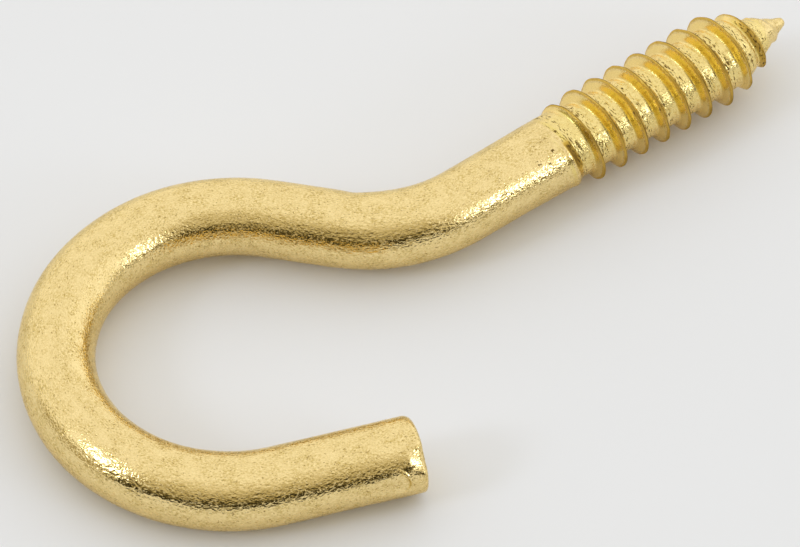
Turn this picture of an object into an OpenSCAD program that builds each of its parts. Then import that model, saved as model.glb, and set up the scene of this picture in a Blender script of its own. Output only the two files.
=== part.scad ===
// Round-bend screw hook: one length of wire, bent into an open ring at one end
// and rolled into a wood-screw thread with a gimlet point at the other.
// The hook lies flat. Its bends are in the XY plane and its screw runs along +X.
// The origin is on the screw's axis, where the first groove starts.

/* [Wire] */
// Diameter of the wire
wire_d = 5; // [4.6:0.1:5.4]
// Radius that rounds the edge of the cut end
cut_edge_r = 0.4; // [0.1:0.05:1]
// How much bending thins the wire's radius
bend_thin = 0.03; // [0.025:0.005:0.1]

/* [Hook] */
// Length of shank from the origin to the neck
shank_len = 7.6; // [4:0.1:20]
// Radius of the neck bend at the wire's centre
neck_r = 10; // [6:0.1:16]
// Angle that the neck turns the wire away from the screw's axis
neck_angle = 47.7; // [40:0.1:56]
// Length of straight wire from the neck to the ring
neck_run = 4.5; // [1:0.1:8]
// Inside diameter of the ring
ring_d = 17.3; // [14:0.1:24]
// Angle that the ring turns the wire back
ring_angle = 207.3; // [170:0.1:230]
// Length of straight wire from the ring to the cut end
end_run = 9.05; // [2:0.05:12]

/* [Thread] */
// Length of the screw from the origin to its tip
screw_len = 18.7; // [12:0.1:40]
// Diameter over the crests
thread_d = 6; // [5.8:0.1:7]
// Diameter of the core between the turns
core_d = 4.55; // [3.6:0.05:4.6]
// Advance of the thread in one turn, right-handed
pitch = 1.735; // [1.5:0.005:2.2]
// Width of the crest
crest_w = 0.18; // [0.1:0.01:0.3]
// Width of the bare core between two turns
root_w = 0.94; // [0.7:0.01:1.1]
// Distance from the origin to the first crest on the +Y side
first_crest = 0.94; // [0:0.01:1.4]
// Swell that rolling leaves on the wire's radius
rolled_rise = 0.03; // [0.02:0.005:0.1]
// Length of swollen wire before the origin
lead_in = 1.1; // [0.8:0.1:3]
// Length over which the crests rise to full height
crest_run = 3.1; // [1.5:0.1:6]
// Length over which the groove sinks to the core
groove_run = 1.4; // [0.5:0.1:4]

/* [Point] */
// Length of the point's cone
point_len = 4.45; // [3:0.05:7]
// Diameter of the blunt tip
tip_d = 0.4; // [0.2:0.05:0.8]
// Height of the thread along the point
point_thread_h = 0.375; // [0.1:0.005:0.5]
// Length of the tip past the end of the thread
bare_len = 2.3; // [1.2:0.05:2.8]
// Length over which the thread stops
stop_len = 0.2; // [0.1:0.05:0.6]

/* [Hidden] */
$fn = 72;
brass = [0.85, 0.74, 0.48];

wire_r = wire_d / 2;
ring_r = (ring_d + wire_d) / 2;

// Stations along the screw
rolled_r = wire_r + rolled_rise;
point_start = screw_len - point_len;
point_slope = (core_d - tip_d) / 2 / point_len;
thread_h = (thread_d - core_d) / 2;
crest_taper = point_start - (thread_h - point_thread_h) / point_slope;
thread_stop = screw_len - bare_len;

// The skin of the screw has four edges a turn, each wound along the helix:
// up one flank, across the crest and down the other flank to the core.
// The wire reaches into the skin by wire_overlap.
turn_steps = 36;
flank_w = (pitch - crest_w - root_w) / 2;
edge_places = [-flank_w - crest_w / 2, -crest_w / 2, crest_w / 2, flank_w + crest_w / 2];
first_turn = -ceil((lead_in + first_crest) / pitch) - 2;
last_turn = ceil((screw_len - first_crest) / pitch) + 1;
edge_count = 4 * (last_turn - first_turn + 1);
wire_overlap = 0.4;

// Angle by which a bend is tucked into the straight wire at either end
bend_tuck = 2;

// Radius of the core at a distance along the screw
function core_at(x) = lookup(x, [
    [0, rolled_r],
    [groove_run, core_d / 2],
    [point_start, core_d / 2],
    [screw_len, tip_d / 2]]);

// Radius of the crest at a distance along the screw
function crest_at(x) = lookup(x, [
    [-lead_in, rolled_r],
    [crest_run - lead_in, thread_d / 2],
    [crest_taper, thread_d / 2],
    [thread_stop, core_at(thread_stop) + point_thread_h],
    [thread_stop + stop_len, core_at(thread_stop + stop_len)],
    [screw_len, tip_d / 2]]);

// Distance along the screw of one edge of the skin at one step around it
function edge_x(step, edge) =
    first_crest + pitch * (first_turn + floor(edge / 4) + step / turn_steps)
    + edge_places[edge % 4];

function is_crest(edge) = edge % 4 == 1 || edge % 4 == 2;

// Point of the skin, held between the two ends of the screw
function skin_point(step, edge) =
    let (x = min(max(edge_x(step, edge), -lead_in), screw_len))
    let (r = is_crest(edge) ? crest_at(x) : core_at(x))
    let (angle = 360 * step / turn_steps)
    [x, r * cos(angle), r * sin(angle)];

// Edges that lie between the two ends of the screw at one step around it
function inner_edges(step) = [
    for (edge = [0:edge_count - 1])
        let (x = edge_x(step, edge))
        if (x > -lead_in && x < screw_len) edge];

// Three corners of a face, unless two of them fall together
function face(a, b, c) = a == b || b == c || c == a ? [] : [[a, b, c]];

module skin() {
    inner = [for (step = [0:turn_steps - 1]) inner_edges(step)];
    points = [
        for (step = [0:turn_steps - 1], edge = [0:edge_count - 1])
            skin_point(step, edge)];
    // The nearest edge past either end, whose point the edges further out share
    low = [for (step = [0:turn_steps - 1]) inner[step][0] - 1];
    high = [for (step = [0:turn_steps - 1]) inner[step][len(inner[step]) - 1] + 1];

    // The step past the last one is the first one, four edges further on
    function corner(step, edge) =
        let (s = step % turn_steps)
        let (e = step == turn_steps ? edge + 4 : edge)
        s * edge_count + min(max(e, low[s]), high[s]);

    sides = [
        for (step = [0:turn_steps - 1], edge = [0:edge_count - 5])
            let (a = corner(step, edge))
            let (b = corner(step + 1, edge))
            let (c = corner(step + 1, edge + 1))
            let (d = corner(step, edge + 1))
            each concat(face(a, c, b), face(a, d, c))];
    start = [for (step = [0:turn_steps - 1]) corner(step, 0)];
    tip = [for (step = [turn_steps - 1:-1:0]) corner(step, edge_count - 1)];
    polyhedron(points, concat([start], sides, [tip]));
}

// Straight wire along +X, with what follows it
module straight(length) {
    rotate([0, 90, 0])
        cylinder(d = wire_d, h = length);
    translate([length, 0, 0])
        children();
}

// Wire bent to the left, or to the right by a negative angle, with what follows it
module bend(radius, angle) {
    side = sign(angle);
    sweep = abs(angle) + 2 * bend_tuck;
    translate([0, side * radius, 0]) {
        rotate_extrude(start = (side > 0 ? -90 : 90 - abs(angle)) - bend_tuck, angle = sweep)
            translate([radius, 0])
                circle(r = wire_r - bend_thin);
        rotate(angle)
            translate([0, -side * radius, 0])
                children();
    }
}

// Straight wire along +X that ends in a cut face with a rounded edge
module cut_end(length) {
    edge_centre = [wire_r - cut_edge_r, length - cut_edge_r];
    edge = [for (a = [0:15:90]) edge_centre + cut_edge_r * [cos(a), sin(a)]];
    rotate([0, 90, 0])
        rotate_extrude()
            polygon(concat([[0, 0], [wire_r, 0]], edge, [[0, length]]));
}

// The bent wire, followed from the screw to its cut end
module wire() {
    translate([wire_overlap - lead_in, 0, 0])
        rotate(180)
            straight(shank_len - lead_in + wire_overlap)
                bend(neck_r, -neck_angle)
                    straight(neck_run)
                        bend(ring_r, ring_angle)
                            cut_end(end_run);
}

module hook() {
    color(brass) {
        skin();
        wire();
    }
}

hook();
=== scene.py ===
"""A brass-plated screw hook that lies on a pale floor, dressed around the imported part."""

import math

import bpy
import numpy as np
from mathutils import Matrix, Vector, noise


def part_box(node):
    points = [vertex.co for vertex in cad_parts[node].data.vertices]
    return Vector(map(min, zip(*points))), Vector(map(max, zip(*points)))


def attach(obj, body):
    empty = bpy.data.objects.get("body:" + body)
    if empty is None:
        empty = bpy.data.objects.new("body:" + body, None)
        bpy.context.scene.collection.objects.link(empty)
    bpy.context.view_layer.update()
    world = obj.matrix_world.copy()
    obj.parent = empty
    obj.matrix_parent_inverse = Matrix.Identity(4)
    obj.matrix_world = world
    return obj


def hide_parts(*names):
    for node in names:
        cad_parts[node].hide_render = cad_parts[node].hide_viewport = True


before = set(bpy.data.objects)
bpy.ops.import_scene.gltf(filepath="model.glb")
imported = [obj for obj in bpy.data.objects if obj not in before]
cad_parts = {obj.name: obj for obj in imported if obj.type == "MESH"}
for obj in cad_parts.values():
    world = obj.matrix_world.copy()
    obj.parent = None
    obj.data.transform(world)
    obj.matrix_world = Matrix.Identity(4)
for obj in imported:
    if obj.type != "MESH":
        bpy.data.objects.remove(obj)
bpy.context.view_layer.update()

MM = 0.001

# The hook, in millimetres, followed from its cut end to the tip of its screw.
# Distances along the wire are measured from the shoulder, where the screw starts.
WIRE_R = 2.5
END_RUN = 9.05
RING_R = 11.15
RING_ANGLE = math.radians(207.3)
NECK_RUN = 4.5
NECK_R = 10.0
NECK_ANGLE = math.radians(47.7)
SHANK_LEN = 7.6
BEND_BLEND = 1.2

# The cut end: its edge is round on one side of the wire and sharp on the other
EDGE_R = 0.41
EDGE_R_SWING = 0.19
EDGE_ROUND_ANGLE = 141

# The thread and its point
SCREW_LEN = 18.7
CREST_R = 3.0
CORE_R = 2.275
PITCH = 1.735
CREST_W = 0.12
ROOT_W = 0.94
FIRST_CREST = 0.94
ROLLED_RISE = 0.03
SWELL_START = -4.0
LEAD_IN = 1.1
CREST_RUN = 3.1
POINT_LEN = 4.45
POINT_THREAD_H = 0.375
BARE_LEN = 2.3
STOP_LEN = 0.2
TIP_R = 0.31
TIP_CONE_R = 0.2
TIP_RIDGE_H = 0.12
TIP_LUMPS = 0.06

# Rounding of the thread's corners, in shares of its height, and of the core where the point starts
ROOT_BLEND = 0.25
CREST_BLEND = 0.14
POINT_BLEND = 0.5

# How unevenly the thread is rolled: sideways, in height, and in the first turn's flanks
CREST_WOBBLE = 0.04
RIM_WOBBLE = 0.08
CREST_SWING = 0.06
FIRST_TURN_NARROWING = 0.35

FLANK_W = (PITCH - CREST_W - ROOT_W) / 2
POINT_START = SCREW_LEN - POINT_LEN
POINT_SLOPE = (CORE_R - TIP_CONE_R) / POINT_LEN
POINT_HALF = math.atan(POINT_SLOPE)
THREAD_STOP = SCREW_LEN - BARE_LEN
CREST_TAPER = POINT_START - (CREST_R - CORE_R - POINT_THREAD_H) / POINT_SLOPE
FULL_CREST = CREST_RUN - LEAD_IN

# The first groove sinks into the wire between two places, in turns from the first crest
GROOVE_START = -0.76
GROOVE_FULL = -0.5

# The rim is the start of the crest at the shoulder, which leans towards the shank
RIM_X = 0.25
RIM_R = 2.6
RIM_FLANK = 0.1
RIM_LEAD = 1.1
RIM_LEAD_END = -0.5
RIM_LEAD_TURNS = 0.4

# The net of the surface winds along the helix of the thread. Its rows lie close together
# near the cut end and along the screw, and further apart on the wire between them.
COLUMNS = 120
ROWS_PER_TURN = 36
CREST_CROWDING = 0.35
END_ROW = 0.048
END_ROWS_LEN = 2.2
END_FADE_LEN = 5.0
WIRE_ROW = 0.3
SCREW_FADE_START = -6.0
SCREW_ROWS_START = -1.8
ROUTE_STEP = 0.01
PLACE_STEP = 0.005

# Marks of the making have places and sizes in millimetres, and angles round the wire in degrees.

# Waves of the wire's skin: height, lumps a millimetre along and across the wire, and seed
BEND_WAVES = (0.014, 0.25, 0.5, 0)
DRAW_MARKS = (0.013, 0.16, 1.2, 2)
DRAW_SCORES = (0.012, 0.25, 2.4, 8)
HAMMER_MARKS = (0.006, 0.9, 1.7, 4)

# A bevel where the cutter pressed on the edge of the cut end
BEVEL_ANGLE = 43
BEVEL_LEN = 1.1
BEVEL_DEPTH = 0.34

# The flat of a clamp near the cut end, with a lip and a ridge
CLAMP_ANGLE = 9
CLAMP_START = 1.15
CLAMP_CURVE = 4.5
CLAMP_LEN = 4.6
CLAMP_FADE_LEN = 2.6
CLAMP_DEPTH = 0.1
CLAMP_LIP = 0.08
CLAMP_RIDGE = 0.022
CLAMP_RIDGE_ANGLE = 24

# A corner that the bending tool leaves on the inside of the neck
NECK_DENT = 0.1
NECK_DENT_X = -15.0
NECK_DENT_LEN = 0.8
NECK_DENT_ANGLE = 39

# Cracks: turn of the groove, half length in turns, place across the groove and drift in a turn
CRACKS = ((-0.6, 0.045, -0.03, 0.6), (7.24, 0.03, -0.22, 2.3), (1.385, 0.02, 0.77, 0),
          (2.39, 0.015, 0.755, 0), (0.37, 0.012, 0.767, 0), (3.4, 0.015, 0.77, -1.9))
CRACK_DEPTH = 0.04

# Rough metal in the grooves: height, lumps a millimetre along and across the groove, and seed
COARSE_TEARS = (0.03, 1.2, 3.5, 3)
FINE_TEARS = (0.028, 2.6, 6.5, 6)
UNTORN_SHARE = 0.3

# Pits in the shank: place and angle
SHANK_PITS = ((-1.15, 121), (-1.75, 135), (-2.5, 123), (-2.42, 129), (-1.02, 138))

# Places on the crest, in turns: a notch in the rim that is darkened as painted shade, pits in the
# rim, and the fin before the bare tip, whose side facing the shank is darkened as painted shade
SHADED_NOTCH = -0.6
RIM_PITS = -0.7
LAST_FIN = 8.42

# Sides of the screw where the crests' lobes are darkened as painted shade and where the flanks get a
# painted amber reflection
SHADED_LOBE_ANGLE = 205
AMBER_REFLECTION_ANGLE = 124

NOISE_SEED_STEP = 11.3


def smooth_max(a, b, width):
    """The larger of two values, rounded over where they cross."""
    return np.maximum(a, b) + np.maximum(width - np.abs(a - b), 0) ** 2 / (4 * width)


def smooth_step(value, low, high):
    """0 below low, 1 above high, and a soft rise between them."""
    t = np.clip((value - low) / (high - low), 0, 1)
    return t * t * (3 - 2 * t)


def near(value, middle, half, soft):
    """1 within half of a middle value, fading to 0 over a soft edge."""
    return 1 - smooth_step(np.abs(value - middle), half, half + soft)


def lumps(points, scale, seed=0):
    """Smooth noise between about -1 and 1 at each point, with its scale in lumps a millimetre."""
    scaled = points.reshape(-1, 3) * np.array(scale) + NOISE_SEED_STEP * seed
    values = [noise.noise(Vector(point)) for point in scaled.tolist()]
    return np.array(values).reshape(points.shape[:-1])


def wire_route():
    """Distances along the wire, the centre line and heading at each of them, and the cut end."""
    runs = [END_RUN, RING_R * RING_ANGLE, NECK_RUN, NECK_R * NECK_ANGLE, SHANK_LEN]
    turns = [0, -RING_ANGLE, 0, NECK_ANGLE, 0]
    stations = np.append(0, np.cumsum(runs)) - sum(runs)
    headings = np.append(0, np.cumsum(turns)) - sum(turns)
    along = np.arange(stations[0] - 2, SCREW_LEN + 2, ROUTE_STEP)
    heading = np.interp(along, stations, headings)
    window = np.ones(round(BEND_BLEND / ROUTE_STEP))
    padded = np.pad(heading, len(window), mode="edge")
    blended = np.convolve(padded, window / len(window), mode="same")
    heading = blended[len(window):-len(window)]
    centre = np.cumsum(np.stack([np.cos(heading), np.sin(heading)], 1), 0) * ROUTE_STEP
    shoulder = np.searchsorted(along, 0)
    return along, centre - centre[shoulder], heading, stations[0]


ALONG, CENTRE, HEADING, CUT_END = wire_route()


def on_wire(x, radius, angle):
    """Points in the part's frame from their place on the straightened wire."""
    heading = np.interp(x, ALONG, HEADING)
    side = radius * np.cos(angle)
    return np.stack([
        np.interp(x, ALONG, CENTRE[:, 0]) - side * np.sin(heading),
        np.interp(x, ALONG, CENTRE[:, 1]) + side * np.cos(heading),
        radius * np.sin(angle)], -1)


def row_places():
    """Rows of the net and their places: a row is a step along the wire."""
    thread_row = PITCH / ROWS_PER_TURN
    end_knots = [CUT_END, CUT_END + END_ROWS_LEN, CUT_END + END_FADE_LEN]
    screw_knots = [SCREW_FADE_START, SCREW_ROWS_START, SCREW_LEN]
    rows = [END_ROW, END_ROW, WIRE_ROW, WIRE_ROW, thread_row, thread_row]
    place = np.arange(CUT_END - 4, SCREW_LEN + 2, PLACE_STEP)
    row = np.cumsum(PLACE_STEP / np.interp(place, end_knots + screw_knots, rows))
    return row - np.interp(FIRST_CREST, place, row), place


def cut_face(place, edge_r):
    """Distance along the wire and share of its radius, over the cut face and its edge."""
    flat = WIRE_R - edge_r
    start = CUT_END + edge_r * (1 - math.pi / 2)
    angle = np.clip((place - start) / edge_r, 0, math.pi / 2)
    radius = np.where(place < start, np.maximum(flat - (start - place), 0),
                      flat + edge_r * np.sin(angle))
    edge = CUT_END + edge_r * (1 - np.cos(angle))
    return np.maximum(place, edge), radius / WIRE_R


def cut_pole(edge_r):
    """Place of the cut face's middle, for the rows of the net that end there."""
    return CUT_END + edge_r * (1 - math.pi / 2) - (WIRE_R - edge_r)


TIP_START = SCREW_LEN - TIP_R * (1 - math.sin(POINT_HALF))
TIP_POLE = TIP_START + TIP_R * (math.pi / 2 - POINT_HALF)


def blunt_tip(place):
    """Distance along the screw and radius of its round tip, past the cone."""
    angle = np.clip(math.pi / 2 - POINT_HALF - (place - TIP_START) / TIP_R, 0, math.pi / 2)
    along = SCREW_LEN - TIP_R * (1 - np.cos(angle))
    return np.where(place > TIP_START, along, place), TIP_R * np.sin(angle)


def core_radius(x, groove):
    """Radius of the wire and of the bare core, by the place along the groove in turns."""
    swell = ROLLED_RISE * smooth_step(x, SWELL_START, -LEAD_IN)
    sink = (WIRE_R + ROLLED_RISE - CORE_R) * smooth_step(groove, GROOVE_START, GROOVE_FULL)
    point = -POINT_SLOPE * smooth_max(x - POINT_START, 0 * x, POINT_BLEND)
    return WIRE_R + swell - sink + point


def crest_height(x, groove):
    """Height of the thread over the core."""
    crest = np.interp(
        x,
        [-LEAD_IN, RIM_X, FULL_CREST, CREST_TAPER, POINT_START],
        [WIRE_R + ROLLED_RISE, RIM_R, CREST_R, CREST_R, CORE_R + POINT_THREAD_H])
    on_screw = np.maximum(crest - core_radius(np.minimum(x, POINT_START), groove), 0)
    on_screw = on_screw * smooth_step(x, -LEAD_IN - 0.4, -LEAD_IN + 0.4)
    ridge = TIP_RIDGE_H * (1 - smooth_step(x, THREAD_STOP + 1, SCREW_LEN - 0.4))
    stopped = smooth_step(x, THREAD_STOP, THREAD_STOP + STOP_LEN)
    return on_screw * (1 - stopped) + ridge * stopped


def thread_form(off_crest, flank_w):
    """Share of the thread's height at a distance from the crest's middle."""
    rise = (CREST_W / 2 + flank_w - np.abs(off_crest)) / flank_w
    drop = 1 - smooth_max(rise, 0 * rise, ROOT_BLEND)
    return 1 - smooth_max(drop, 0 * rise, CREST_BLEND)


class Net:
    """Places of the hook's surface points, row by row and column by column.

    A crest lies where phase is a whole number. Groove and crest count the turns
    along the nearest groove and the nearest crest.
    """

    def __init__(self):
        row_table, place_table = row_places()
        low = math.floor(np.interp(CUT_END - WIRE_R, place_table, row_table)) - ROWS_PER_TURN
        high = math.ceil(np.interp(TIP_POLE, place_table, row_table)) + 1
        self.row, column = np.meshgrid(
            np.arange(low, high + 1), np.arange(COLUMNS), indexing="ij")
        self.turn = column / COLUMNS
        self.angle = 2 * math.pi * self.turn
        place = np.interp(self.row + ROWS_PER_TURN * self.turn, row_table, place_table)
        self.close_ends(place - self.crowding(place))
        self.wind_thread()
        core = np.where(self.on_tip, self.tip_radius, core_radius(self.x, self.groove))
        self.radius = self.share * (core + self.height * self.form)
        self.radius = self.radius + self.share * relief(self)

    def crowding(self, place):
        """How far the rows of the thread are drawn towards its crests."""
        crowd = CREST_CROWDING * smooth_step(place, -4, -1.5)
        crowd = crowd * (1 - smooth_step(place, THREAD_STOP, THREAD_STOP + 1))
        in_turn = 2 * math.pi * self.row / ROWS_PER_TURN
        return crowd * PITCH * np.sin(in_turn) / (2 * math.pi)

    def close_ends(self, place):
        """Distances along the wire, with the cut face and the tip each closed at a point."""
        edge_r = EDGE_R + EDGE_R_SWING * np.cos(self.angle_from(EDGE_ROUND_ANGLE))
        pole = cut_pole(edge_r)
        self.at_cut = place <= pole
        self.at_tip = place >= TIP_POLE
        place = np.clip(place, pole, TIP_POLE)
        self.on_tip = place > TIP_START
        x, self.share = cut_face(place, edge_r)
        self.x, self.tip_radius = blunt_tip(x)

    def wind_thread(self):
        """The place of each point in the thread, and the thread's height and form there."""
        self.phase = (self.x - FIRST_CREST) / PITCH - self.turn
        self.groove = np.floor(self.row / ROWS_PER_TURN) + self.turn
        self.crest = np.round(self.phase) + self.turn
        self.threaded = smooth_step(self.x, -LEAD_IN, 0.3)
        self.rim = 1 - smooth_step(self.crest, -0.5, -0.1)
        lead = RIM_LEAD * np.clip(RIM_LEAD_END - self.crest, 0, RIM_LEAD_TURNS)
        self.off_crest = (self.phase - np.round(self.phase)) * PITCH + lead

        along_crest = 2 * math.pi * CREST_R * self.crest
        crest_line = np.stack([along_crest, 0 * along_crest, 0 * along_crest], -1)
        wobble = (CREST_WOBBLE + RIM_WOBBLE * self.rim) * lumps(crest_line, 0.7)
        flank_w = FLANK_W * (1 - FIRST_TURN_NARROWING * near(self.crest, 0.2, 0.3, 0.4))
        flank_w = flank_w + RIM_FLANK * self.rim * (self.off_crest > 0)
        self.form = thread_form(self.off_crest + wobble, flank_w)
        uneven = 1 + CREST_SWING * lumps(crest_line, 1.1, 1)
        self.height = crest_height(self.x, self.groove) * uneven

    def angle_from(self, degrees):
        """Angle round the wire from a direction, between half a turn either way."""
        off = self.angle - math.radians(degrees)
        return (off + math.pi) % (2 * math.pi) - math.pi

    def on_straight_wire(self):
        """Points of the skin with the wire straightened."""
        side = self.radius * np.cos(self.angle)
        return np.stack([self.x, side, self.radius * np.sin(self.angle)], -1)

    def on_ribbon(self):
        """Points along and across the groove, with the thread unwound."""
        along = 2 * math.pi * CORE_R * self.groove
        across = PITCH * (self.phase - np.floor(self.row / ROWS_PER_TURN) - 0.5)
        return np.stack([along, across, 0 * along], -1)

    def before_tip(self):
        """1 up to the end of the thread, and 0 on the bare tip."""
        return 1 - smooth_step(self.x, THREAD_STOP, THREAD_STOP + 0.5)

    def on_thread(self):
        """1 from the shoulder to the end of the thread."""
        return self.threaded * self.before_tip()

    def torn_side(self):
        """The side of each groove that rolling leaves torn, next to the crest before it."""
        across = self.on_ribbon()[..., 1] / PITCH
        return self.on_thread() * near(across, -0.2, 0.16, 0.12)

    def cracks(self):
        """Long cracks in the torn side and in the flanks."""
        ribbon = self.on_ribbon()
        lines = near(lumps(ribbon, (0.8, 4.5, 1)), 0, 0.01, 0.06) * self.torn_side()
        lines = lines * smooth_step(lumps(ribbon, (0.5, 1.6, 1), 7), -0.05, 0.25)
        for groove, half, across, drift in CRACKS:
            off = ribbon[..., 1] - across - drift * (self.groove - groove)
            crack = near(self.groove, groove, half, 0.02) * near(off, 0, 0.01, 0.04)
            lines = np.maximum(lines, crack)
        return lines


def relief(net):
    """Small rises and dents that drawing, bending, cutting and rolling leave."""
    return wire_waves(net) + neck_dent(net) + end_marks(net) + torn_root(net) + lumpy_tip(net)


def wire_waves(net):
    """Waves of the bends, long marks of drawing and small hammered dents."""
    wire = net.on_straight_wire()
    waves = 0
    for height, along, across, seed in (BEND_WAVES, DRAW_MARKS, DRAW_SCORES, HAMMER_MARKS):
        waves = waves + height * lumps(wire, (along, across, across), seed)
    return waves


def neck_dent(net):
    """The corner that the bending tool leaves on the inside of the neck."""
    along = np.exp(-np.abs(net.x - NECK_DENT_X) / NECK_DENT_LEN)
    return -NECK_DENT * along * near(net.angle_from(NECK_DENT_ANGLE), 0, 0.3, 0.8)


def clamp_start(net):
    """Angle from the middle of the clamp's flat, and the distance from the cut end to its edge."""
    off = net.angle_from(CLAMP_ANGLE)
    return off, CLAMP_START + CLAMP_CURVE * off ** 2


def end_marks(net):
    """The flat of a clamp near the cut end, with a lip, and a bevel where the cutter pressed."""
    from_end = net.x - CUT_END
    off, start = clamp_start(net)
    depth = CLAMP_DEPTH * smooth_step(from_end, start, start + 0.14)
    depth = depth * (1 - 0.8 * smooth_step(from_end, CLAMP_LEN - CLAMP_FADE_LEN, CLAMP_LEN))
    depth = depth * (1 - smooth_step(from_end, CLAMP_LEN, CLAMP_LEN + 1))
    flat = np.maximum(WIRE_R - (WIRE_R - depth) / np.cos(np.clip(off, -0.6, 0.6)), 0)
    lip = near(off, 0.22, 0.16, 0.1) * near(from_end, start - 0.07, 0.03, 0.14)
    ridge = CLAMP_RIDGE * np.clip(1 - np.abs(net.angle_from(CLAMP_RIDGE_ANGLE)) / 0.24, 0, 1)
    ridge = ridge * smooth_step(from_end, 0.8, 1.5) * (1 - smooth_step(from_end, 4, 9))
    bevel = BEVEL_DEPTH * np.clip(1 - from_end / BEVEL_LEN, 0, 1) ** 1.15
    bevel = bevel * near(net.angle_from(BEVEL_ANGLE), 0, 0.08, 0.42)
    return CLAMP_LIP * lip + ridge - flat - bevel


def torn_root(net):
    """Rough metal in the grooves, most of it on their torn side, and cracks."""
    ribbon = net.on_ribbon()
    rough = 0
    for height, along, across, seed in (COARSE_TEARS, FINE_TEARS):
        rough = rough + height * lumps(ribbon, (along, across, 1), seed)
    root = (1 - net.form) ** 2
    torn = net.torn_side() + UNTORN_SHARE * net.threaded
    return root * rough * torn - CRACK_DEPTH * net.cracks()


def lumpy_tip(net):
    """Lumps on the bare tip."""
    return TIP_LUMPS * (1 - net.before_tip()) * lumps(net.on_straight_wire(), 1.4, 5)


def torn_share(net):
    """Torn metal in the grooves, cracks, and pits in the rim and in the shank."""
    rim_pits = near(net.crest, RIM_PITS, 0.07, 0.05) * near(net.off_crest, 0.3, 0.1, 0.1)
    torn = net.torn_side() * (1 - net.form) + 1.1 * net.cracks() + rim_pits
    for x, angle in SHANK_PITS:
        off = np.hypot(net.x - x, WIRE_R * net.angle_from(angle))
        torn = torn + 3 * near(off, 0, 0.06, 0.08)
    return torn


def edge_and_shade_share(net):
    """Tinted edges: the crests, and as painted shade their lobes on one side of the screw, a notch in
    the rim and the edge of the clamp's flat.
    """
    top = smooth_step(net.form, 0.7, 0.95)
    # The crests' lobes on one side of the screw are darkened as painted shade
    lobe = near(net.angle_from(SHADED_LOBE_ANGLE), 0, 0.3, 0.5) * top
    crest_line = near(net.off_crest, 0.03, 0.03, 0.05)
    brim = np.maximum(np.maximum(0.6 * top, crest_line), 0.8 * lobe)
    brim = net.on_thread() * brim * (1 - 0.8 * net.rim)
    # The notch in the rim is darkened as painted shade
    notch = near(net.crest, SHADED_NOTCH, 0.05, 0.04) * near(net.off_crest, 0.34, 0.2, 0.12)
    off, start = clamp_start(net)
    # A line along the edge of the clamp's flat is darkened as painted shade
    clamp_line = near(net.x - CUT_END, start + 0.05, 0.02, 0.06) * near(off, 0.05, 0.25, 0.15)
    return brim + 0.9 * notch + 0.5 * clamp_line


def fin_share(net):
    """The side of the last fin that faces the shank, which is browned as painted shade and carries
    folds.
    """
    before_crest = smooth_step(-net.off_crest, -0.02, 0.06)
    return near(net.crest, LAST_FIN, 0.15, 0.12) * before_crest * smooth_step(net.form, 0, 0.3)


def skin_shares(net):
    """How far each kind of mark and each side of the thread shows at each point; the edge and fin
    shares carry painted shade, and the amber share a painted amber reflection.
    """
    flank = net.on_thread() * near(net.form, 0.35, 0.2, 0.25)
    # The flanks on this side of the screw get a painted amber reflection
    amber = near(net.angle_from(AMBER_REFLECTION_ANGLE), 0, 0.75, 0.4)
    return {
        "torn_share": torn_share(net),
        "edge_and_shade_share": edge_and_shade_share(net),
        "fin_share": fin_share(net),
        "tip_share": 1 - net.before_tip(),
        "root_share": net.on_thread() * (1 - smooth_step(net.form, 0.05, 0.3)),
        "amber_reflection_share": flank * amber,
        "pale_share": flank * (1 - amber)}


def with_seam(values, past_end):
    """Rows of values with one more column, where the net meets itself a turn later."""
    seam = np.full_like(values[:, :1], past_end)
    seam[:-ROWS_PER_TURN] = values[ROWS_PER_TURN:, :1]
    return np.hstack([values, seam])


def quads_of(values):
    """The four corners of each cell of the net."""
    return np.stack([values[:-1, :-1], values[:-1, 1:], values[1:, 1:], values[1:, :-1]], -1)


def net_faces(net):
    """Numbers of the points, the faces of the closed skin and the cell corners they use.

    Points past either end of the hook share one point.
    """
    index = np.cumsum(~(net.at_cut | net.at_tip)).reshape(net.row.shape) + 1
    index[net.at_cut] = 0
    index[net.at_tip] = 1
    faces = []
    used = []
    for number, quad in enumerate(quads_of(with_seam(index, 1)).reshape(-1, 4).tolist()):
        corners = list(dict.fromkeys(quad))
        if len(corners) > 2:
            faces.append(corners)
            used.extend(4 * number + quad.index(corner) for corner in corners)
    return index, faces, used


def ribbon_corners(net):
    """Places along and across the unwound groove, for each corner of each cell."""
    cell_groove = np.floor(net.row[:-1] / ROWS_PER_TURN)[..., None]
    column = np.arange(COLUMNS + 1) + 0 * with_seam(net.row, 0)
    x = quads_of(with_seam(net.x, SCREW_LEN))
    turn = quads_of(column / COLUMNS)
    along = 2 * math.pi * CORE_R * (cell_groove + turn)
    across = x - FIRST_CREST - PITCH * (turn + cell_groove + 0.5)
    return np.stack([along, across, 0 * along], -1).reshape(-1, 3)


def store(mesh, name, domain, values):
    """Keeps a number or a vector for each point or corner of the skin."""
    kind, field = ("FLOAT", "value") if values.ndim == 1 else ("FLOAT_VECTOR", "vector")
    layer = mesh.attributes.new(name, kind, domain)
    layer.data.foreach_set(field, values.astype(np.float32).ravel())


def make_hook():
    """The skin of the hook, with the places and shares that its material reads."""
    net = Net()
    index, faces, used = net_faces(net)
    first = np.unique(index.ravel(), return_index=True)[1]
    skin = on_wire(net.x, net.radius, net.angle).reshape(-1, 3)[first]
    mesh = bpy.data.meshes.new("brass_hook")
    mesh.from_pydata(skin * MM, [], faces)
    mesh.shade_smooth()
    store(mesh, "wire_mm", "POINT", net.on_straight_wire().reshape(-1, 3)[first])
    store(mesh, "ribbon_mm", "CORNER", ribbon_corners(net)[used])
    for name, share in skin_shares(net).items():
        store(mesh, name, "POINT", share.ravel()[first])
    hook = bpy.data.objects.new("brass_hook", mesh)
    bpy.context.scene.collection.objects.link(hook)
    return hook


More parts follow.
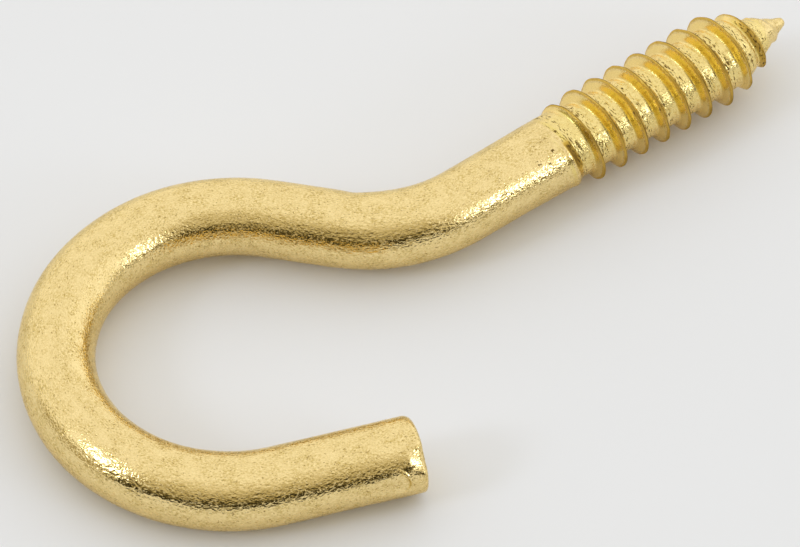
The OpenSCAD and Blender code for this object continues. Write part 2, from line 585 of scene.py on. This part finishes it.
class Nodes:
    """Makes the nodes of a material or of the world."""

    # Sockets of a Mix node that carry colours
    MIX_FIRST = 6
    MIX_SECOND = 7
    MIX_RESULT = 2

    def __init__(self, tree):
        self.tree = tree

    def put(self, value, socket):
        """Gives an input a value, or a link from a socket."""
        if isinstance(value, bpy.types.NodeSocket):
            self.tree.links.new(value, socket)
        else:
            socket.default_value = value

    def make(self, kind, values=(), **settings):
        """A node with its settings and inputs."""
        node = self.tree.nodes.new(kind)
        for key, value in settings.items():
            setattr(node, key, value)
        for key, value in dict(values).items():
            self.put(value, node.inputs[key])
        return node

    def maths(self, operation, *values):
        """The output of a Math node."""
        return self.make("ShaderNodeMath", enumerate(values), operation=operation).outputs[0]

    def spread(self, value, low, high, to_low=0.0, to_high=1.0):
        """A value carried from one range to another with soft ends."""
        ranges = {"From Min": low, "From Max": high, "To Min": to_low, "To Max": to_high}
        node = self.make(
            "ShaderNodeMapRange", {"Value": value, **ranges}, interpolation_type="SMOOTHSTEP")
        return node.outputs["Result"]

    def tinted(self, amount, first, second):
        """A colour between two colours, or sockets that carry them."""
        node = self.make("ShaderNodeMix", {"Factor": amount}, data_type="RGBA")
        self.put(first, node.inputs[self.MIX_FIRST])
        self.put(second, node.inputs[self.MIX_SECOND])
        return node.outputs[self.MIX_RESULT]


# Colours of the plating: the wire, the thread, what is worn, torn or folded, and painted shade and a
# painted amber reflection
LIGHT_GOLD = (1.0, 0.79, 0.385, 1)
DEEP_GOLD = (0.58, 0.41, 0.11, 1)
# Brown of the pits, painted shade in them
PIT_SHADE_BROWN = (0.36, 0.24, 0.07, 1)
ROOT_GOLD = (1.0, 0.81, 0.36, 1)
# Painted amber reflection on one side of the flanks
AMBER_REFLECTION_GOLD = (0.86, 0.685, 0.17, 1)
PALE_GOLD = (1.0, 0.75, 0.27, 1)
# Crest tints, and painted shade on the lobes, the notch and the clamp's edge
EDGE_AMBER = (0.66, 0.43, 0.07, 1)
EDGE_BROWN = (0.2, 0.115, 0.025, 1)
# Painted shade on the side of the last fin that faces the shank
FIN_SHADE_BROWN = (0.6, 0.39, 0.07, 1)
FOLD_BROWN = (0.19, 0.115, 0.025, 1)
GRAZING_TINT = (0.98, 0.92, 0.76, 1)

# Sizes of the plating's patterns, in lumps a millimetre, and how far they stretch
PATCHES = 1.2
GRAIN = 10.0
PITS = 9.0
DENTS = 9.5
FLAKES = 5.8
FLECKS = 7.4
DASHES = 11.0
BLOTCHES = 3.0
WIRE_STRETCH = (0.7, 1, 1)
GROOVE_STRETCH = (0.3, 1, 1)

# Depth of the grain in millimetres, and roughness where the plating is bright and where it is worn
GRAIN_DEPTH = 0.012
BRIGHT_ROUGHNESS = 0.10
WORN_ROUGHNESS = 0.60


class Plating(Nodes):
    """Brass plating over drawn wire: fine grain, pits browned as painted shade, torn marks in the
    grooves, and painted shade and a painted amber reflection on the thread.
    """

    def __init__(self, tree):
        super().__init__(tree)
        self.drawn = self.stretched("wire_mm", WIRE_STRETCH)
        self.ribbon = self.stretched("ribbon_mm", GROOVE_STRETCH)
        self.torn = self.share("torn_share")
        self.edges = self.share("edge_and_shade_share")
        self.fin = self.share("fin_share")
        self.tip = self.share("tip_share")
        self.root = self.share("root_share")
        self.amber = self.share("amber_reflection_share")
        self.pale = self.share("pale_share")
        self.flank = self.maths("ADD", self.amber, self.pale)
        self.calm = self.maths("MULTIPLY_ADD", self.flank, -0.85, 1.0)
        self.patches = self.speckle(self.drawn, PATCHES, 3.0, 0.65)
        lively = self.spread(self.patches, 0.35, 0.68, 0.7, 2.2)
        self.gain = self.maths("MULTIPLY", self.calm, lively)
        self.pits = self.make_pits()
        self.folds = self.make_folds()

    def stretched(self, name, stretch):
        """Places on the skin from one of its attributes, scaled along each axis."""
        place = self.make("ShaderNodeAttribute", attribute_name=name).outputs["Vector"]
        values = {0: place, 1: stretch}
        return self.make("ShaderNodeVectorMath", values, operation="MULTIPLY").outputs[0]

    def share(self, name):
        """A share from one of the skin's attributes."""
        return self.make("ShaderNodeAttribute", attribute_name=name).outputs["Fac"]

    def speckle(self, place, scale, detail=1.0, rough=0.5):
        """A noise pattern between 0 and 1."""
        values = {"Vector": place, "Scale": scale, "Detail": detail, "Roughness": rough}
        return self.make("ShaderNodeTexNoise", values).outputs["Fac"]

    def swing(self, scale):
        """A noise pattern of the wire that swings about 0."""
        return self.maths("SUBTRACT", self.speckle(self.drawn, scale), 0.5)

    def make_pits(self):
        """Small pits in clusters, few of them on the flanks."""
        clustered = self.maths("MULTIPLY_ADD", self.patches, 0.25, self.speckle(self.drawn, PITS))
        return self.maths("MULTIPLY", self.calm, self.spread(clustered, 0.73, 0.88))

    def make_folds(self):
        """Dark dashes along the grooves where the metal is torn, and on the last fin."""
        fold = self.maths("MULTIPLY_ADD", self.torn, 0.16, self.speckle(self.ribbon, DASHES))
        fold = self.maths("MULTIPLY_ADD", self.fin, 0.2, fold)
        fold = self.maths("MULTIPLY_ADD", self.tip, -0.6, fold)
        worn = self.spread(self.maths("ADD", self.torn, self.fin), 0.02, 0.2)
        return self.maths("MULTIPLY", self.spread(fold, 0.735, 0.835), worn)

    def wire_colour(self):
        """Gold with fine grain, in lighter and deeper patches, and pits browned as painted shade."""
        grit = self.maths("MULTIPLY", self.swing(GRAIN), self.gain)
        tone = self.maths("ADD", grit, self.spread(self.patches, 0.25, 0.75, 0.82, 0.50))
        gold = self.tinted(tone, DEEP_GOLD, LIGHT_GOLD)
        # Pits are browned as painted shade
        return self.tinted(self.maths("MULTIPLY", self.pits, 0.6), gold, PIT_SHADE_BROWN)

    def thread_colour(self, gold):
        """Brighter gold in the grooves, and on the flanks a painted amber reflection on one side of
        the screw and pale gold elsewhere.
        """
        gold = self.tinted(self.maths("MULTIPLY", self.root, 0.4), gold, ROOT_GOLD)
        # Painted amber reflection on the flanks of one side of the screw
        gold = self.tinted(self.maths("MULTIPLY", self.amber, 0.8), gold, AMBER_REFLECTION_GOLD)
        return self.tinted(self.maths("MULTIPLY", self.pale, 0.8), gold, PALE_GOLD)

    def wear_and_shade_colour(self, gold):
        """Amber and brown blotches on the crests' edges, painted shade on the lobes, the notch, the
        clamp's edge and the last fin, and dark folds.
        """
        blotch = self.speckle(self.ribbon, BLOTCHES, 2.0, 0.6)
        # The edge share tints the crests and paints shade on the lobes, the notch and the clamp's
        # edge
        gold = self.tinted(self.spread(self.edges, 0.0, 0.6, 0.0, 0.9), gold, EDGE_AMBER)
        brown = self.spread(blotch, 0.35, 0.6, 0.3, 0.9)
        brown = self.maths("MULTIPLY", brown, self.spread(self.edges, 0.6, 1.0))
        gold = self.tinted(brown, gold, EDGE_BROWN)
        # Painted shade on the side of the last fin that faces the shank
        fin = self.maths("MULTIPLY", self.fin, self.spread(blotch, 0.3, 0.6, 0.5, 0.9))
        gold = self.tinted(fin, gold, FIN_SHADE_BROWN)
        return self.tinted(self.folds, gold, FOLD_BROWN)

    def colour(self):
        return self.wear_and_shade_colour(self.thread_colour(self.wire_colour()))

    def bump(self):
        """Fine dents and flakes, with the folds and pits sunk into them."""
        depth = self.maths("MULTIPLY_ADD", self.root, 1.4, self.gain)
        dents = self.maths("MULTIPLY", self.swing(DENTS), depth)
        flat = self.maths("SUBTRACT", self.calm, self.root)
        flakes = self.maths("MULTIPLY", self.swing(FLAKES), flat)
        height = self.maths("MULTIPLY_ADD", flakes, 2.3, dents)
        height = self.maths("MULTIPLY_ADD", self.folds, -2.0, height)
        height = self.maths("MULTIPLY_ADD", self.pits, -0.5, height)
        values = {"Height": height, "Strength": 1.0, "Distance": GRAIN_DEPTH * MM}
        return self.make("ShaderNodeBump", values).outputs["Normal"]

    def roughness(self):
        """Bright plating with dull flecks and pits, duller on the thread and its edges."""
        flecks = self.spread(self.speckle(self.drawn, FLECKS), 0.56, 0.66)
        flecks = self.maths("MULTIPLY", self.calm, flecks)
        dull = self.maths("MAXIMUM", self.pits, self.maths("MULTIPLY", flecks, 0.75))
        wear = ((self.root, 0.22), (self.flank, 0.28), (self.edges, 1.0), (self.fin, 0.5))
        for share, amount in wear:
            dull = self.maths("MULTIPLY_ADD", share, amount, dull)
        return self.spread(dull, 0.0, 1.0, BRIGHT_ROUGHNESS, WORN_ROUGHNESS)


def brass_material():
    material = bpy.data.materials.new("brass_plating")
    material.use_nodes = True
    plating = Plating(material.node_tree)
    inputs = material.node_tree.nodes["Principled BSDF"].inputs
    inputs["Metallic"].default_value = 1.0
    inputs["Specular Tint"].default_value = GRAZING_TINT
    plating.put(plating.colour(), inputs["Base Color"])
    plating.put(plating.bump(), inputs["Normal"])
    plating.put(plating.roughness(), inputs["Roughness"])
    return material


# The camera, in degrees and millimetres; the picture is 800 pixels wide
CAMERA_AZIMUTH = -35.5
CAMERA_ELEVATION = 50.66
CAMERA_ROLL = -1.15
CAMERA_DISTANCE = 508.6
CAMERA_TARGET = (-14.0, -2.135, 0.0)
FOCAL_PIXELS = 7978
PICTURE_WIDTH = 800
SENSOR_WIDTH = 36.0


def make_camera():
    azimuth = math.radians(CAMERA_AZIMUTH)
    elevation = math.radians(CAMERA_ELEVATION)
    roll = math.radians(CAMERA_ROLL)
    flat = math.cos(elevation)
    back = Vector((math.sin(azimuth) * flat, -math.cos(azimuth) * flat, math.sin(elevation)))
    level = Vector((math.cos(azimuth), math.sin(azimuth), 0))
    upright = back.cross(level)
    right = math.cos(roll) * level + math.sin(roll) * upright
    up = math.cos(roll) * upright - math.sin(roll) * level
    data = bpy.data.cameras.new("camera")
    data.sensor_width = SENSOR_WIDTH
    data.lens = SENSOR_WIDTH * FOCAL_PIXELS / PICTURE_WIDTH
    camera = bpy.data.objects.new("camera", data)
    bpy.context.scene.collection.objects.link(camera)
    turn = Matrix((right, up, back)).transposed().to_4x4()
    place = (Vector(CAMERA_TARGET) + CAMERA_DISTANCE * back) * MM
    camera.matrix_world = Matrix.Translation(place) @ turn
    bpy.context.scene.camera = camera


# Angles of the room are in degrees.

# The dark side of the room: azimuth, half width and soft edge, and the light at some elevations
DARK_SIDE = (-135, 50, 6)
DARK_SIDE_LIGHT = ((15, 0.03), (23, 0.17), (31, 0.45), (42, 0.6), (52, 0.68), (64, 0.82), (75, 1.0))

# Darker patches of the room: azimuth, half width and soft edge, the same for elevation, and share
DARK_PATCHES = (
    (160, 30, 8, 0, 15, 3, 0.62),
    (-70, 28, 8, 0, 12, 2, 0.95),
    (-79, 11, 5, 41, 9, 4, 0.3))

# Soft boxes: azimuth and its half width, elevation and its half height, soft edge, added light
SOFT_BOXES = (
    (166, 8, 34, 5.5, 2, 8.0),
    (-62, 7, 20, 4.5, 2, 5.2),
    (-25, 55, 18, 24, 8, 0.12))

WHITE = (1, 1, 1, 1)
DARK_TINT = (1.15, 0.95, 0.4, 1)
BOX_TINT = (0.9, 1.0, 1.2, 1)


class Room(Nodes):
    """The light of the room, by direction."""

    def __init__(self, tree):
        super().__init__(tree)
        way = self.make("ShaderNodeTexCoord").outputs["Generated"]
        axes = self.make("ShaderNodeSeparateXYZ", {0: way}).outputs
        self.azimuth = self.maths("ARCTAN2", axes["Y"], axes["X"])
        self.elevation = self.maths("ARCSINE", axes["Z"])

    def window(self, angle, middle, half, soft):
        """1 within a range of angles and 0 outside it, with soft edges."""
        off = self.maths("SUBTRACT", angle, math.radians(middle))
        off = self.maths("WRAP", off, math.pi, -math.pi)
        off = self.maths("ABSOLUTE", off)
        return self.spread(off, math.radians(half - soft), math.radians(half + soft), 1.0, 0.0)

    def patch(self, azimuth, half_width, side_soft, elevation, half_height, top_soft):
        """1 within a patch of the room and 0 outside it, with soft edges."""
        across = self.window(self.azimuth, azimuth, half_width, side_soft)
        upright = self.window(self.elevation, elevation, half_height, top_soft)
        return self.maths("MULTIPLY", across, upright)

    def dark_side(self):
        """The share of light that the dark side of the room lacks."""
        rise = self.maths("DIVIDE", self.elevation, math.pi / 2)
        fade = self.make("ShaderNodeValToRGB", {"Fac": rise})
        stops = fade.color_ramp.elements
        for angle, level in DARK_SIDE_LIGHT:
            stops.new(angle / 90).color = (level, level, level, 1)
        stops.remove(stops[0])
        lack = self.maths("SUBTRACT", 1.0, fade.outputs["Color"])
        return self.maths("MULTIPLY", lack, self.window(self.azimuth, *DARK_SIDE))

    def darkness(self):
        """The share of light that the dark side and the darker patches lack."""
        dark = self.dark_side()
        for *place, share in DARK_PATCHES:
            dark = self.maths("MAXIMUM", dark, self.maths("MULTIPLY", self.patch(*place), share))
        return dark

    def box_light(self):
        """The light that the soft boxes add."""
        glow = 0.0
        for azimuth, half_width, elevation, half_height, soft, strength in SOFT_BOXES:
            box = self.patch(azimuth, half_width, soft, elevation, half_height, soft)
            glow = self.maths("MULTIPLY_ADD", box, strength, glow)
        return glow


def make_world():
    """Even white light from all round, with a dark side of the room behind the camera."""
    world = bpy.data.worlds.new("studio")
    bpy.context.scene.world = world
    world.use_nodes = True
    room = Room(world.node_tree)
    dark = room.darkness()
    glow = room.box_light()
    tint = room.tinted(glow, room.tinted(dark, WHITE, DARK_TINT), BOX_TINT)
    light = room.maths("ADD", room.maths("SUBTRACT", 1.0, dark), glow)
    inputs = world.node_tree.nodes["Background"].inputs
    room.put(tint, inputs["Color"])
    room.put(light, inputs["Strength"])


FLOOR_RADIUS = 4.0
FLOOR_SIDES = 96
FLOOR_TONE = 0.84


def floor_material():
    material = bpy.data.materials.new("floor")
    material.use_nodes = True
    inputs = material.node_tree.nodes["Principled BSDF"].inputs
    inputs["Base Color"].default_value = (FLOOR_TONE, FLOOR_TONE, FLOOR_TONE, 1)
    inputs["Roughness"].default_value = 1.0
    inputs["Specular IOR Level"].default_value = 0.0
    return material


def make_floor():
    """A pale floor that touches the first full crest and the far side of the ring."""
    mesh = bpy.data.meshes.new("floor")
    angles = [2 * math.pi * side / FLOOR_SIDES for side in range(FLOOR_SIDES)]
    rim = [(FLOOR_RADIUS * math.cos(angle), FLOOR_RADIUS * math.sin(angle), 0) for angle in angles]
    mesh.from_pydata(rim, [], [list(range(FLOOR_SIDES))])
    mesh.materials.append(floor_material())
    floor = bpy.data.objects.new("floor", mesh)
    bpy.context.scene.collection.objects.link(floor)
    ring_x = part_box("hook")[0].x / MM + WIRE_R
    tilt = math.atan((CREST_R - WIRE_R) / (FULL_CREST - ring_x))
    floor.rotation_euler = (0, tilt, 0)
    floor.location = Vector((FULL_CREST, 0, -CREST_R)) * MM


bpy.context.scene.view_settings.view_transform = "Standard"
make_camera()
make_world()
make_floor()
hook = make_hook()
hook.data.materials.append(brass_material())
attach(hook, "root")
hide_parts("hook")
